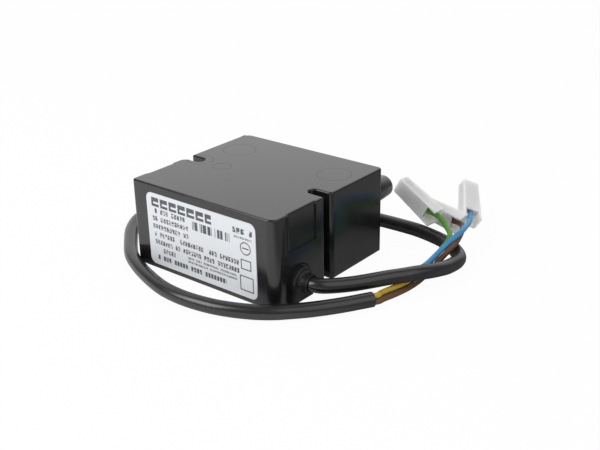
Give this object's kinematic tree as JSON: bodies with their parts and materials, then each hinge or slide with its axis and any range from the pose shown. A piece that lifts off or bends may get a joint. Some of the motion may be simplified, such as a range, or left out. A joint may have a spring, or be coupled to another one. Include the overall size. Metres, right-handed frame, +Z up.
{
  "type": "ignition transformer",
  "caption": "Moulded box-shaped ignition transformer with a fixing slot in each side, high-voltage outlets on its back face and a mains cord that ends in push-on connectors.",
  "frame": {"origin": "middle of the flat underside of the case", "axes": "+X towards the face with the strain relief, -Y towards the face with the label, +Z up, away from the surface that the case is fixed to"},
  "size_m": [0.1767, 0.1789, 0.045],
  "materials": {
    "case_black": "moulded, satin",
    "board_laminate": "solder mask",
    "insulation_blue": "smooth",
    "insulation_brown": "smooth",
    "insulation_green_yellow": "smooth, two-colour stripe",
    "capacitor_red": "moulded",
    "capacitor_yellow": "moulded",
    "ferrite": "ground ceramic",
    "contact_brass": "plain",
    "lead_insulation": "smooth",
    "resistor_body": "lacquered",
    "cord_sheath": "satin",
    "bush_black": "satin",
    "resin": "cast",
    "bobbin_plastic": "moulded",
    "winding_copper": "enamelled wire",
    "label_film": "satin film",
    "nylon_natural": "translucent",
    "varistor_lacquer": "dipped",
    "component_black": "moulded"
  },
  "bodies": {
    "root": {"case": "case_black", "circuit_board": "board_laminate", "core_blue": "insulation_blue", "core_brown": "insulation_brown", "core_green_yellow": "insulation_green_yellow", "discharge_capacitor": "capacitor_red", "ferrite_core_left": "ferrite", "ferrite_core_right": "ferrite", "hv_contact_left": "contact_brass", "hv_contact_right": "contact_brass", "hv_lead_left": "lead_insulation", "hv_lead_right": "lead_insulation", "limiting_resistor": "resistor_body", "mains_cord": "cord_sheath", "potting_resin": "resin", "primary_bobbin": "bobbin_plastic", "primary_winding": "winding_copper", "rating_label": "label_film", "receptacle_housing_blue": "nylon_natural", "receptacle_housing_brown": "nylon_natural", "receptacle_housing_earth": "nylon_natural", "rectifier_diode_1": "component_black", "rectifier_diode_2": "component_black", "secondary_bobbin_left": "bobbin_plastic", "secondary_bobbin_right": "bobbin_plastic", "secondary_winding_left": "winding_copper", "secondary_winding_right": "winding_copper", "strain_relief": "bush_black", "suppression_capacitor": "capacitor_yellow", "tail_blue": "insulation_blue", "tail_brown": "insulation_brown", "tail_green_yellow": "insulation_green_yellow", "terminal_blue": "contact_brass", "terminal_brown": "contact_brass", "terminal_earth": "contact_brass", "trigger_thyristor": "component_black", "varistor": "varistor_lacquer"}
  },
  "joints": []
}
